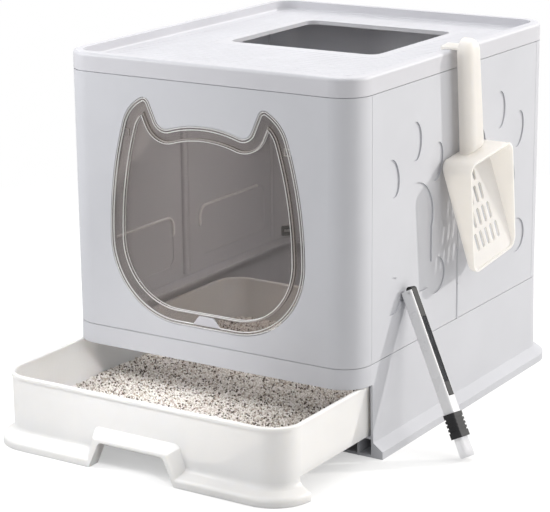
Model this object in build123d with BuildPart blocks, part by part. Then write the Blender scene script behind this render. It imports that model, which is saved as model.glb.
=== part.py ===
from build123d import *
import math
import os

# Foldable litter box: base with pull-out tray, inward folding walls, lift-off lid,
# swing door, hung scoop and leaning cleaning brush. Millimetres, +Z up, front is -Y,
# origin on the floor at the centre of the enclosure.

# Enclosure
body_width = 400.0
body_depth = 484.0
corner_radius = 35.0
wall = 3.0
base_height = 112.0
wall_height = 308.0
lid_height = 22.0
front_return = 36.0

# Lap joints between base, walls and lid
seam = 0.8
tongue = 1.2
tongue_height = 4.5
lap_gap = 0.3

# Upright wall hinges
barrel_radius = 2.4
barrel_gap = 0.35
pin_radius = 1.2
pin_clear = 0.05
pin_end = 1.6
knuckle_count = 7
leaf_gap = 0.5
corner_axis_inset = 3.8
middle_axis_inset = 0.8

# Wall decoration and stiffening
rib_width = 9.0
rib_depth = 5.0
rib_round = 3.0
pocket_depth = 0.8
pocket_margin = 30.0
pocket_low = 16.0
pocket_height = 67.0
pocket_round = 14.0
paw_depth = 1.8
paw_offset = 107.0
pad_radius = 44.0
pad_height = 146.0
lobe_radius = 22.0
lobe_spread = 52.0
lobe_height = 68.0
toe_width = 29.0
toe_length = 46.0
toe_spread = 52.0
side_toe_height = 205.0
middle_toe_height = 238.0
side_toe_tilt = 14.0

# Base
base_draft = 2.0
base_floor = 3.0
foot_flare = 14.0
foot_lip = 9.0
foot_top = 18.0
band_height = 24.0
side_front_gap = 1.0
ledge_width = 20.0
ledge_thickness = 3.0
rail_width = 15.0
rail_thickness = 2.5

# Tray drawer
tray_width = 389.0
tray_radius = 34.0
tray_wall = 2.6
tray_floor = 2.5
tray_bottom = 25.0
tray_top_gap = 1.5
tray_rear_gap = 1.5
tray_rim = 5.0
rim_proud = 1.2
rim_height = 5.0
rim_round = 1.8
tray_open = 141.0
run_gap = 0.3
floor_gap = 0.5
apron_wall = 3.0
apron_length = 32.0
grip_top_width = 88.0
grip_bottom_width = 118.0
grip_height = 33.0
grip_round = 8.0
grip_border = 14.0
grip_taper = 30.0
frame_round = 6.0
neck_round = 8.0
lip_round = 5.0
litter_depth = 5.0
litter_swell = 1.6
swell_length = 95.0
swell_waves = ((0.8, 0.6, 0.7), (-0.7, 0.45, 2.1))
swell_steps = 24

# Door opening and flap
door_bottom = 18.5
door_flat = 40.0
door_corner_radius = 95.0
door_side_radius = 466.6
door_ear_base = 140.0
ear_radius = 51.7
ear_apex_angle = 74.5
notch_half = 60.0
door_top = 240.6
door_top_radius = 161.0
ear_tip_round = 9.0
notch_round = 14.0
collar_wall = 2.5
collar_depth = 11.0
flap_gap = 1.6
flap_wall = 2.0
flap_lip = 3.0
flap_lip_proud = 0.7
flap_band = 16.0
flap_recess = 4.6
door_axis_height = 240.8
door_pin_radius = 2.0
door_pin_clear = 0.06
door_axis_inset = 3.2
lug_size = 8.0
lug_inset = 0.8
tab_bottom_width = 38.0
tab_top_width = 20.0
tab_height = 11.0
tab_proud = 1.6

# Lid
lid_round = 4.0
rim_width = 12.0
deck_recess = 12.0
deck_thickness = 3.0
deck_round = 3.0
hatch_width = 209.0
hatch_depth = 196.0
hatch_center = 65.0
hatch_round = 14.0
hatch_lip = 2.0
hatch_lip_wall = 2.5

# Corner clips
clip_width = 16.0
clip_depth = 5.0
clip_height = 13.0
clip_slot = 5.0
clip_gap = 0.1

# Scoop
scoop_center = -10.0
scoop_tilt = 6.0
scoop_gap = 2.0
scoop_wall = 2.4
handle_top = 14.0
handle_width = 33.0
handle_neck_width = 38.0
handle_back = 7.0
handle_depth = 17.0
handle_round = 11.0
handle_length = 136.0
hook_width = 18.0
hook_wall = 3.0
hook_drop = 8.0
hook_gap = 1.2
pan_width = 110.0
pan_length = 134.0
pan_depth = 40.0
pan_lip_depth = 5.0
pan_round = 14.0
pan_back_gap = 1.0
slot_width = 7.0
slot_pitch = 13.0
slot_rows = 4
slot_first_count = 2
slot_length = 21.0
slot_row_pitch = 26.0
slot_start = 30.0

# Cleaning brush
brush_length = 205.0
brush_lean_x = -95.0
brush_lean_y = 29.0
brush_lean_z = 180.0
brush_reach = 97.7
brush_tip_y = -157.0
brush_tip_z = 4.0
bristle_length = 24.0
bristle_columns = 25
bristle_rows = 12
bristle_pitch = 0.62
bristle_row_pitch = 0.85
bristle_side = 0.4
bristle_back = 1.5
ferrule_length = 29.0
ferrule_width = 22.0
ferrule_depth = 15.0
ferrule_groove = 1.0
ferrule_grooves = 4
grip_width = 17.0
grip_depth = 14.0
grip_end = 8.0
grip_edge = 2.0
arm_width = 11.8
arm_depth = 7.6
arm_length = 132.0
arm_pivot = 8.0
arm_gap = 0.3
arm_pin_radius = 1.5
arm_pin_clear = 0.05
arm_pocket_length = 79.0
arm_pocket_low = 16.0
arm_bristle_depth = 3.0
arm_bristle_columns = 5
arm_bristle_rows = 30
arm_bristle_side = 0.9
arm_bristle_back = 1.2

# Heights and half sizes that follow from the driving dimensions
half_width = body_width / 2
half_depth = body_depth / 2
lid_seam = base_height + wall_height
lid_top = lid_seam + lid_height
wall_low = base_height + seam / 2
wall_high = lid_seam - seam / 2
tongue_low = base_height - tongue_height
tongue_high = lid_seam + tongue_height
hinge_y = half_depth - front_return
corner_axis_x = half_width - corner_axis_inset
middle_axis_x = half_width - middle_axis_inset
pin_low = wall_low + pin_end
pin_length = wall_high - pin_end - pin_low
base_rim = base_height - seam / 2
ledge_top = tongue_low - lap_gap
band_low = base_height - band_height
side_front = -hinge_y + side_front_gap
draft_angle = math.degrees(math.atan(base_draft / base_height))
bottom_align = (Align.CENTER, Align.CENTER, Align.MIN)


def body_outline(inset, height):
    with BuildSketch(Plane.XY.offset(height)) as outline:
        RectangleRounded(
            body_width - 2 * inset, body_depth - 2 * inset, corner_radius - inset
        )
    return outline.sketch


# Wall ring: the closed wall with a thin tongue above and below, cut into panels further down
with BuildPart() as wall_ring:
    extrude(body_outline(0, wall_low), amount=wall_high - wall_low)
    extrude(body_outline(wall - tongue, tongue_low), amount=tongue_high - tongue_low)
    extrude(
        body_outline(wall, tongue_low),
        amount=tongue_high - tongue_low,
        mode=Mode.SUBTRACT,
    )

# Knuckles fill the full height of a hinge and go to the two leaves in turn
knuckle_pitch = (wall_high - wall_low) / knuckle_count
outer_knuckles = range(0, knuckle_count, 2)
inner_knuckles = range(1, knuckle_count, 2)


def keep_box(x_low, x_high, y_low, y_high):
    with Locations(((x_low + x_high) / 2, (y_low + y_high) / 2, 0)):
        Box(
            x_high - x_low,
            y_high - y_low,
            2 * lid_top,
            align=bottom_align,
            mode=Mode.INTERSECT,
        )


def hinge_leaf(x, y, own, other):
    for index in other:
        with Locations((x, y, wall_low + index * knuckle_pitch)):
            Cylinder(
                barrel_radius + barrel_gap,
                knuckle_pitch,
                align=bottom_align,
                mode=Mode.SUBTRACT,
            )
    for index in own:
        with Locations((x, y, wall_low + index * knuckle_pitch + leaf_gap / 2)):
            Cylinder(barrel_radius, knuckle_pitch - leaf_gap, align=bottom_align)
    with Locations((x, y, pin_low)):
        Cylinder(
            pin_radius + pin_clear, pin_length, align=bottom_align, mode=Mode.SUBTRACT
        )


def paw_print(plane):
    with BuildSketch(plane) as paw:
        with Locations((0, pad_height)):
            Circle(pad_radius)
            Rectangle(
                2 * lobe_spread - lobe_radius,
                pad_height - lobe_height + lobe_radius / 2,
                align=(Align.CENTER, Align.MAX),
            )
        with Locations((-lobe_spread, lobe_height), (lobe_spread, lobe_height)):
            Circle(lobe_radius)
        with Locations((0, middle_toe_height)):
            Ellipse(toe_width / 2, toe_length / 2)
        with Locations(
            Location((-toe_spread, side_toe_height), side_toe_tilt),
            Location((toe_spread, side_toe_height), -side_toe_tilt),
        ):
            Ellipse(toe_width / 2, toe_length / 2)
    return paw.sketch


def side_plane(x, y):
    return Plane(origin=(x, y, base_height), x_dir=(0, 1, 0), z_dir=(1, 0, 0))


# Both right hand wall halves: paw print pressed into the outer face, a stiffening rib beside
# the middle hinge and a shallow pocket on the inner face
def wall_relief(side):
    center = side * paw_offset
    extrude(
        paw_print(side_plane(half_width, center)),
        amount=-paw_depth,
        mode=Mode.SUBTRACT,
    )
    with BuildSketch(Plane.XY.offset(wall_low)) as rib:
        with Locations(
            (half_width - (rib_depth + wall) / 2, side * (leaf_gap + rib_width) / 2)
        ):
            RectangleRounded(rib_depth + wall, rib_width, rib_round)
    extrude(rib.sketch, amount=wall_high - wall_low)
    pocket_length = hinge_y - pocket_margin - corner_axis_inset - pocket_margin / 2
    with BuildSketch(side_plane(half_width - wall, 0)) as pocket:
        with Locations(
            (
                side * (pocket_margin + pocket_length / 2),
                pocket_low + pocket_height / 2,
            )
        ):
            RectangleRounded(pocket_length, pocket_height, pocket_round)
    extrude(pocket.sketch, amount=pocket_depth, mode=Mode.SUBTRACT)


with BuildPart() as right_front_wall:
    add(wall_ring.part)
    keep_box(0, body_width, -hinge_y + leaf_gap / 2, -leaf_gap / 2)
    wall_relief(-1)
    hinge_leaf(corner_axis_x, -hinge_y, inner_knuckles, outer_knuckles)
    hinge_leaf(middle_axis_x, 0, outer_knuckles, inner_knuckles)
right_front_wall.part.label = "right_front_wall"

with BuildPart() as right_rear_wall:
    add(wall_ring.part)
    keep_box(0, body_width, leaf_gap / 2, hinge_y - leaf_gap / 2)
    wall_relief(1)
    hinge_leaf(corner_axis_x, hinge_y, inner_knuckles, outer_knuckles)
    hinge_leaf(middle_axis_x, 0, inner_knuckles, outer_knuckles)
right_rear_wall.part.label = "right_rear_wall"

with BuildPart() as left_front_wall:
    mirror(right_front_wall.part, about=Plane.YZ)
left_front_wall.part.label = "left_front_wall"

with BuildPart() as left_rear_wall:
    mirror(right_rear_wall.part, about=Plane.YZ)
left_rear_wall.part.label = "left_rear_wall"

with BuildPart() as rear_panel:
    add(wall_ring.part)
    keep_box(-body_width, body_width, hinge_y + leaf_gap / 2, body_depth)
    for side in (-1, 1):
        hinge_leaf(side * corner_axis_x, hinge_y, outer_knuckles, inner_knuckles)
rear_panel.part.label = "rear_panel"


# Cat-head door outline on the plane Y = y, drawn as its right half and mirrored
def door_outline(y, inset):
    center_z = base_height + door_bottom + door_corner_radius
    side_x = door_flat + door_corner_radius
    side_angle = math.degrees(math.asin(door_ear_base / door_side_radius))
    side_center_x = side_x - door_side_radius
    ear_reach = door_side_radius - ear_radius
    ear_center = (
        side_center_x + ear_reach * math.cos(math.radians(side_angle)),
        center_z + ear_reach * math.sin(math.radians(side_angle)),
    )
    top_center_z = base_height + door_bottom + door_top - door_top_radius
    notch_angle = math.degrees(math.acos(notch_half / door_top_radius))
    plane = Plane(origin=(0, y, 0), x_dir=(1, 0, 0), z_dir=(0, -1, 0))
    with BuildSketch(plane) as outline:
        with BuildLine():
            Line((0, center_z - door_corner_radius), (door_flat, center_z - door_corner_radius))
            CenterArc((door_flat, center_z), door_corner_radius, 270, 90)
            CenterArc((side_center_x, center_z), door_side_radius, 0, side_angle)
            ear = CenterArc(ear_center, ear_radius, side_angle, ear_apex_angle - side_angle)
            top = CenterArc((0, top_center_z), door_top_radius, notch_angle, 90 - notch_angle)
            Line(ear @ 1, top @ 0)
            mirror(about=Plane.YZ)
        make_face()
        apexes = outline.vertices().filter_by(lambda v: abs(abs(v.X) - (ear @ 1).X) < 0.01)
        fillet(apexes.sort_by(Axis.Y)[-2:], ear_tip_round)
        notches = outline.vertices().filter_by(lambda v: abs(abs(v.X) - notch_half) < 0.01)
        fillet(notches.sort_by(Axis.Y)[:2], notch_round)
        if inset != 0:
            offset(amount=-inset, kind=Kind.ARC, mode=Mode.REPLACE)
    return outline.sketch


door_axis_y = -half_depth + door_axis_inset
door_axis_z = base_height + door_axis_height
door_half = (
    door_flat
    + door_corner_radius
    - door_side_radius
    + math.sqrt(
        door_side_radius**2 - (door_axis_height - door_bottom - door_corner_radius) ** 2
    )
)

with BuildPart() as front_panel:
    add(wall_ring.part)
    keep_box(-body_width, body_width, -body_depth, -hinge_y - leaf_gap / 2)
    for side in (-1, 1):
        hinge_leaf(side * corner_axis_x, -hinge_y, outer_knuckles, inner_knuckles)
    # collar round the opening, drilled for the flap's pins
    extrude(door_outline(-half_depth + wall / 2, -collar_wall), amount=wall / 2 - collar_depth)
    extrude(door_outline(-half_depth, 0), amount=-collar_depth, mode=Mode.SUBTRACT)
    with Locations(Location((0, door_axis_y, door_axis_z), (0, 90, 0))):
        Cylinder(
            door_pin_radius + door_pin_clear,
            2 * (door_half + 2 * collar_wall),
            mode=Mode.SUBTRACT,
        )
front_panel.part.label = "front_panel"

# Clear flap: a flat band inside the collar, a recessed middle and two pins
flap_front = -half_depth + flap_lip_proud
with BuildPart() as door_flap:
    # raised lip along the outer edge
    extrude(door_outline(-half_depth, flap_gap), amount=-flap_lip)
    extrude(
        door_outline(-half_depth, flap_gap + flap_lip),
        amount=-flap_lip_proud,
        mode=Mode.SUBTRACT,
    )
    extrude(
        door_outline(flap_front, flap_gap + flap_band - flap_wall),
        amount=-flap_recess - flap_wall,
    )
    extrude(
        door_outline(flap_front, flap_gap + flap_band),
        amount=-flap_recess,
        mode=Mode.SUBTRACT,
    )
    pin_start = door_half - flap_gap - lug_inset - lug_size
    pin_reach = door_half + 2 * collar_wall - pin_start
    for side in (-1, 1):
        with Locations((side * (pin_start + lug_size / 2), flap_front, door_axis_z)):
            Box(
                lug_size,
                door_axis_y + door_pin_radius - flap_front,
                lug_size,
                align=(Align.CENTER, Align.MIN, Align.CENTER),
            )
        with Locations(Location((side * pin_start, door_axis_y, door_axis_z), (0, side * 90, 0))):
            Cylinder(door_pin_radius, pin_reach, align=bottom_align)
door_flap.part.label = "door_flap"

# Pale tab set into the lower edge of the flap
with BuildPart() as door_tab:
    tab_low = base_height + door_bottom + flap_gap + flap_lip
    with BuildSketch(
        Plane(origin=(0, flap_front, tab_low), x_dir=(1, 0, 0), z_dir=(0, -1, 0))
    ) as tab_face:
        Trapezoid(
            tab_bottom_width,
            tab_height,
            math.degrees(math.atan(2 * tab_height / (tab_bottom_width - tab_top_width))),
            align=(Align.CENTER, Align.MIN),
        )
        fillet(tab_face.vertices().sort_by(Axis.Y)[-2:], tab_height / 4)
    extrude(amount=tab_proud)
    fillet(door_tab.faces().sort_by(Axis.Y)[0].edges(), tab_proud / 2)
door_tab.part.label = "door_tab"

# Base: drafted tub with flared foot, lap rim, inner ledge, drawer opening and two rails
with BuildPart() as base_tub:
    extrude(body_outline(-base_draft, 0), amount=base_rim, taper=draft_angle)
    extrude(body_outline(-foot_flare, 0), amount=foot_lip)
    loft(
        [
            body_outline(-foot_flare, foot_lip).face(),
            body_outline(-base_draft * (1 - foot_top / base_height), foot_top).face(),
        ],
        ruled=True,
    )
    extrude(
        body_outline(wall - base_draft, base_floor),
        amount=base_height,
        taper=draft_angle,
        mode=Mode.SUBTRACT,
    )
    with BuildSketch(Plane.XY.offset(ledge_top - ledge_thickness)) as ledge:
        add(body_outline(wall / 2, 0))
        add(body_outline(wall + ledge_width, 0), mode=Mode.SUBTRACT)
    extrude(amount=ledge_thickness)
    extrude(
        body_outline(wall / 2, ledge_top), amount=base_height, mode=Mode.SUBTRACT
    )
    with Locations((0, side_front, 0)):
        Box(
            2 * body_width,
            body_depth,
            band_low,
            align=(Align.CENTER, Align.MAX, Align.MIN),
            mode=Mode.SUBTRACT,
        )
    rail_top = tray_bottom - run_gap
    rail_length = 2 * (half_depth - corner_radius) - side_front_gap
    for side in (-1, 1):
        rail_x = side * (half_width - wall - rail_width / 2)
        with Locations((rail_x, side_front_gap, rail_top - rail_thickness)):
            Box(rail_width + wall, rail_length, rail_thickness, align=bottom_align)
        web_x = side * (half_width - wall - rail_width)
        with Locations((web_x, side_front_gap, 0)):
            Box(rail_thickness, rail_length, rail_top, align=bottom_align)
base_tub.part.label = "base_tub"

# Lid: hollow rim round a sunk deck with a top entry
deck_top = lid_top - deck_recess
deck_under = deck_top - deck_thickness
with BuildPart() as lid:
    extrude(body_outline(0, lid_seam + seam / 2), amount=lid_height - seam / 2)
    fillet(lid.faces().sort_by(Axis.Z)[-1].edges(), lid_round)
    extrude(body_outline(rim_width, deck_top), amount=deck_recess, mode=Mode.SUBTRACT)
    deck_edges = lid.edges().filter_by_position(Axis.Z, deck_top - 0.01, deck_top + 0.01)
    fillet(deck_edges, deck_round)
    extrude(
        body_outline(wall, lid_seam), amount=deck_under - lid_seam, mode=Mode.SUBTRACT
    )
    with BuildSketch(Plane.XY.offset(deck_under)) as rim_hollow:
        add(body_outline(wall, 0))
        add(body_outline(rim_width - wall, 0), mode=Mode.SUBTRACT)
    extrude(amount=lid_top - lid_round - deck_under, mode=Mode.SUBTRACT)
    extrude(
        body_outline(wall / 2, lid_seam),
        amount=tongue_high + lap_gap - lid_seam,
        mode=Mode.SUBTRACT,
    )
    with BuildSketch(Plane.XY.offset(deck_under - hatch_lip)) as hatch_edge:
        with Locations((0, hatch_center)):
            RectangleRounded(
                hatch_width + 2 * hatch_lip_wall,
                hatch_depth + 2 * hatch_lip_wall,
                hatch_round + hatch_lip_wall,
            )
    extrude(amount=hatch_lip + deck_thickness / 2)
    with BuildSketch(Plane.XY.offset(lid_seam)) as hatch:
        with Locations((0, hatch_center)):
            RectangleRounded(hatch_width, hatch_depth, hatch_round)
    extrude(amount=lid_height, mode=Mode.SUBTRACT)
lid.part.label = "lid"

# Snap clips in the four lower corners of the walls
clip_center = corner_radius - (corner_radius - wall) / math.sqrt(2)


def corner_clip(x_side, y_side):
    spot = (
        x_side * (half_width - clip_center),
        y_side * (half_depth - clip_center),
        wall_low,
    )
    turn = -45 * x_side * y_side
    with BuildPart() as clip:
        with Locations(Location(spot, (0, 0, turn))):
            Box(clip_width, 2 * clip_depth, clip_height, align=bottom_align)
        extrude(
            body_outline(wall + clip_gap, wall_low),
            amount=clip_height,
            mode=Mode.INTERSECT,
        )
        with Locations(
            Location((spot[0], spot[1], wall_low + clip_height / 2), (0, 0, turn))
        ):
            Box(clip_width * 0.6, 4 * clip_depth, clip_slot, mode=Mode.SUBTRACT)
    return clip.part


clips = {
    "front_right_clip": corner_clip(1, -1),
    "front_left_clip": corner_clip(-1, -1),
    "rear_right_clip": corner_clip(1, 1),
    "rear_left_clip": corner_clip(-1, 1),
}

# Steel hinge pins
pin_places = {
    "front_right_pin": (corner_axis_x, -hinge_y),
    "middle_right_pin": (middle_axis_x, 0),
    "rear_right_pin": (corner_axis_x, hinge_y),
    "front_left_pin": (-corner_axis_x, -hinge_y),
    "middle_left_pin": (-middle_axis_x, 0),
    "rear_left_pin": (-corner_axis_x, hinge_y),
}
pins = {}
for name, (pin_x, pin_y) in pin_places.items():
    with BuildPart() as hinge_pin:
        with Locations((pin_x, pin_y, pin_low)):
            Cylinder(pin_radius, pin_length - leaf_gap, align=bottom_align)
    pins[name] = hinge_pin.part

# Tray drawer, drawn where the picture shows it, pulled out by tray_open
tray_front = -half_depth - tray_open
tray_rear = half_depth - wall - tray_rear_gap - tray_open
tray_depth = tray_rear - tray_front
tray_center = (tray_front + tray_rear) / 2
tray_top = band_low - tray_top_gap


def tray_outline(grow, height):
    with BuildSketch(Plane.XY.offset(height)) as outline:
        with Locations((0, tray_center)):
            RectangleRounded(
                tray_width + 2 * grow, tray_depth + 2 * grow, tray_radius + grow
            )
    return outline.sketch


def grip_face(y, top_width, bottom_width, height, low):
    with BuildSketch(
        Plane(origin=(0, y, 0), x_dir=(1, 0, 0), z_dir=(0, -1, 0))
    ) as face:
        with BuildLine():
            slope = (bottom_width - top_width) / 2 / height
            Polyline(
                (-bottom_width / 2 + slope * low, low),
                (bottom_width / 2 - slope * low, low),
                (top_width / 2, height),
                (-top_width / 2, height),
                close=True,
            )
        make_face()
        fillet(face.vertices().sort_by(Axis.Y)[-2:], grip_round)
    return face.sketch


# Raised border round the grip, with its front edge rounded over
with BuildPart() as grip_frame:
    extrude(
        grip_face(
            tray_front + apron_wall / 2,
            grip_top_width + 2 * grip_border,
            grip_bottom_width + 2 * grip_border,
            grip_height + grip_border,
            -grip_height,
        ),
        amount=foot_flare + apron_wall / 2,
        taper=grip_taper,
    )
    fillet(grip_frame.faces().sort_by(Axis.Y)[0].edges().sort_by(Axis.Z)[1:], frame_round)

with BuildPart() as drawer_tray:
    # apron with its foot in front of the tray
    extrude(tray_outline(0, floor_gap), amount=tray_bottom)
    extrude(tray_outline(foot_flare, floor_gap), amount=foot_lip)
    loft(
        [
            tray_outline(foot_flare, floor_gap + foot_lip).face(),
            tray_outline(0, foot_top).face(),
        ],
        ruled=True,
    )
    fillet(drawer_tray.edges().filter_by_position(Axis.Z, foot_top, foot_top), neck_round)
    lip_height = floor_gap + foot_lip
    fillet(drawer_tray.edges().filter_by_position(Axis.Z, lip_height, lip_height), lip_round)
    add(grip_frame.part)
    with Locations((0, 0, floor_gap)):
        Box(
            2 * body_width,
            4 * body_depth,
            body_depth,
            align=(Align.CENTER, Align.CENTER, Align.MAX),
            mode=Mode.SUBTRACT,
        )
    with Locations((0, tray_front + apron_length, 0)):
        Box(
            2 * body_width,
            body_depth,
            body_depth,
            align=(Align.CENTER, Align.MIN, Align.MIN),
            mode=Mode.SUBTRACT,
        )
    extrude(
        tray_outline(-apron_wall, 0), amount=tray_bottom, mode=Mode.SUBTRACT
    )
    extrude(
        grip_face(
            tray_front + 2 * apron_wall,
            grip_top_width,
            grip_bottom_width,
            grip_height,
            0,
        ),
        amount=2 * foot_flare,
        mode=Mode.SUBTRACT,
    )
    # tray with its rim
    extrude(tray_outline(0, tray_bottom), amount=tray_top - tray_bottom)
    extrude(tray_outline(rim_proud, tray_top - rim_height), amount=rim_height)
    extrude(
        tray_outline(-tray_wall, tray_bottom + tray_floor),
        amount=tray_top - rim_height - tray_bottom - tray_floor,
        mode=Mode.SUBTRACT,
    )
    extrude(
        tray_outline(rim_proud - tray_rim, tray_top - rim_height),
        amount=rim_height,
        mode=Mode.SUBTRACT,
    )
    fillet(drawer_tray.faces().sort_by(Axis.Z)[-1].edges(), rim_round)
drawer_tray.part.label = "drawer_tray"


# Litter bed with soft swells on top
def litter_top(x, y):
    height = tray_bottom + tray_floor + litter_depth
    for x_share, y_share, phase in swell_waves:
        turns = (x_share * x + y_share * (y - tray_center)) / swell_length
        height += litter_swell / 2 * math.sin(2 * math.pi * turns + phase)
    return height


swell_rows = []
for row in range(swell_steps + 1):
    y = tray_center + tray_depth * (row / swell_steps - 1 / 2)
    across = [tray_width * (column / swell_steps - 1 / 2) for column in range(swell_steps + 1)]
    swell_rows.append([Vector(x, y, litter_top(x, y)) for x in across])

with BuildPart() as litter_bed:
    extrude(
        tray_outline(-tray_wall - run_gap, tray_bottom + tray_floor),
        amount=litter_depth + 2 * litter_swell,
    )
    extrude(
        Face.make_surface_from_array_of_points(swell_rows),
        amount=litter_depth + 2 * litter_swell,
        dir=(0, 0, 1),
        mode=Mode.SUBTRACT,
    )
litter_bed.part.label = "litter_bed"

# Scoop hung over the lid's right rim: local x runs along the wall, y up, z away from the wall
tilt = math.radians(scoop_tilt)
scoop_plane = Plane(
    origin=(half_width + scoop_gap, scoop_center, lid_top),
    x_dir=(0, math.cos(tilt), math.sin(tilt)),
    z_dir=(1, 0, 0),
)
pan_top = handle_top - handle_length
pan_low = pan_top - pan_length
pan_side = Plane(
    origin=scoop_plane.origin, x_dir=scoop_plane.z_dir, z_dir=-scoop_plane.x_dir
)
with BuildPart() as scoop_pan:
    with BuildSketch(pan_side) as pan_profile:
        with BuildLine():
            Polyline(
                (pan_back_gap, pan_top),
                (pan_depth, pan_top),
                (pan_depth, pan_low),
                (pan_depth - pan_lip_depth, pan_low),
                close=True,
            )
        make_face()
    extrude(amount=pan_width / 2, both=True)
    fillet(scoop_pan.edges().filter_by(Axis.X), pan_round)
    offset(
        amount=-scoop_wall,
        openings=scoop_pan.faces().sort_by(Axis.X)[-1],
        kind=Kind.INTERSECTION,
    )

floor_start = scoop_plane.from_local_coords(Vector(0, pan_top, pan_back_gap))
floor_end = scoop_plane.from_local_coords(Vector(0, pan_low, pan_depth - pan_lip_depth))
floor_dir = (floor_end - floor_start).normalized()
sieve_plane = Plane(
    origin=floor_start,
    x_dir=scoop_plane.x_dir,
    z_dir=scoop_plane.x_dir.cross(floor_dir),
)
with BuildPart() as scoop:
    # half round handle with a channel in its back
    with BuildSketch(scoop_plane.offset(handle_back)) as handle_face:
        with Locations((0, handle_top - handle_width / 2)):
            Circle(handle_width / 2)
        with Locations((0, pan_top)):
            Rectangle(handle_neck_width, scoop_wall)
        make_hull()
    extrude(amount=handle_depth)
    handle_edges = scoop.faces().sort_by(Axis.X)[-1].edges().sort_by(Axis.Z)[1:]
    fillet(handle_edges, handle_round)
    with BuildSketch(scoop_plane.offset(handle_back)) as channel:
        with Locations((0, handle_top - handle_width / 2)):
            Circle(handle_width / 2 - scoop_wall)
        with Locations((0, pan_top + scoop_wall)):
            Rectangle(handle_neck_width - 2 * scoop_wall, scoop_wall)
        make_hull()
    extrude(amount=handle_depth / 2, mode=Mode.SUBTRACT)
    add(scoop_pan.part)
    # hook over the rim
    hook_reach = scoop_gap + rim_width + hook_gap + hook_wall
    with BuildSketch(pan_side) as hook_profile:
        with Locations((-hook_reach, hook_gap)):
            Rectangle(
                hook_reach + handle_back + handle_depth / 2 + scoop_wall,
                hook_wall,
                align=(Align.MIN, Align.MIN),
            )
            Rectangle(hook_wall, 2 * hook_drop, align=(Align.MIN, Align.CENTER))
        with Locations((-hook_reach, hook_gap + hook_wall)):
            Rectangle(
                hook_wall, hook_drop, align=(Align.MIN, Align.MIN), mode=Mode.SUBTRACT
            )
    extrude(amount=hook_width / 2, both=True)
    for row in range(slot_rows):
        count = slot_first_count + row
        with BuildSketch(sieve_plane) as slots:
            with Locations((0, slot_start + row * slot_row_pitch)):
                with GridLocations(slot_pitch, slot_pitch, count, 1):
                    SlotOverall(slot_length, slot_width, rotation=90)
        extrude(amount=2 * scoop_wall, both=True, mode=Mode.SUBTRACT)
scoop.part.label = "scoop"

# Brush leaning on the right wall: local x across, y away from the wall, z up the handle
brush_axis = Vector(brush_lean_x, brush_lean_y, brush_lean_z).normalized()
brush_out = (Vector(1, 0, 0) - brush_axis * brush_axis.X).normalized()
brush_plane = Plane(
    origin=(half_width + brush_reach, brush_tip_y, brush_tip_z),
    x_dir=brush_out.cross(brush_axis),
    z_dir=brush_axis,
)
ferrule_end = bristle_length + ferrule_length
grip_top = brush_length - grip_end / 2
arm_low = brush_length - arm_length
arm_center = grip_depth / 2 - arm_depth / 2 + arm_gap
pivot_height = brush_length - arm_pivot
brush_side = Plane(
    origin=brush_plane.origin, x_dir=brush_plane.y_dir, z_dir=brush_plane.x_dir
)

with BuildPart() as brush_bristles:
    with BuildSketch(brush_plane.offset(bristle_length)) as bristle_root:
        Rectangle(
            bristle_columns * bristle_pitch + bristle_side,
            bristle_rows * bristle_row_pitch + bristle_side,
        )
    extrude(amount=bristle_back)
    with BuildSketch(brush_plane) as strands:
        with GridLocations(bristle_pitch, bristle_row_pitch, bristle_columns, bristle_rows):
            Rectangle(bristle_side, bristle_side)
    extrude(amount=bristle_length)
brush_bristles.part.label = "brush_bristles"

with BuildPart() as brush_ferrule:
    with BuildSketch(brush_plane.offset(bristle_length)) as ferrule_face:
        RectangleRounded(ferrule_width, ferrule_depth, grip_edge)
    extrude(amount=ferrule_length)
    for index in range(ferrule_grooves):
        level = bristle_length + ferrule_length * (index + 1.5) / (ferrule_grooves + 2)
        with BuildSketch(brush_plane.offset(level)) as groove:
            Rectangle(2 * ferrule_width, 2 * ferrule_depth)
            RectangleRounded(
                ferrule_width - 2 * ferrule_groove,
                ferrule_depth - 2 * ferrule_groove,
                grip_edge,
                mode=Mode.SUBTRACT,
            )
        extrude(amount=2 * ferrule_groove, mode=Mode.SUBTRACT)
    with BuildSketch(brush_plane.offset(bristle_length)) as root_pocket:
        Rectangle(
            bristle_columns * bristle_pitch + 2 * bristle_side,
            bristle_rows * bristle_row_pitch + 2 * bristle_side,
        )
    extrude(amount=bristle_back, mode=Mode.SUBTRACT)
brush_ferrule.part.label = "brush_ferrule"

with BuildPart() as brush_handle:
    with BuildSketch(brush_plane.offset(ferrule_end)) as handle_section:
        RectangleRounded(grip_width, grip_depth, grip_edge)
    extrude(amount=grip_top - ferrule_end)
    # channel for the folding arm and the room that its end turns in
    with BuildSketch(brush_plane.offset(arm_low - arm_gap)) as arm_channel:
        with Locations((0, arm_center)):
            Rectangle(arm_width + 2 * arm_gap, arm_depth + 2 * arm_gap)
    extrude(amount=arm_length + grip_end, mode=Mode.SUBTRACT)
    with BuildSketch(brush_side) as pivot_room:
        with Locations((arm_center, pivot_height)):
            Circle(arm_pivot + arm_gap)
    extrude(amount=arm_width / 2 + arm_gap, both=True, mode=Mode.SUBTRACT)
    with BuildSketch(brush_side) as pin_hole:
        with Locations((arm_center, pivot_height)):
            Circle(arm_pin_radius)
    extrude(amount=grip_width, both=True, mode=Mode.SUBTRACT)
brush_handle.part.label = "brush_handle"

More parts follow.
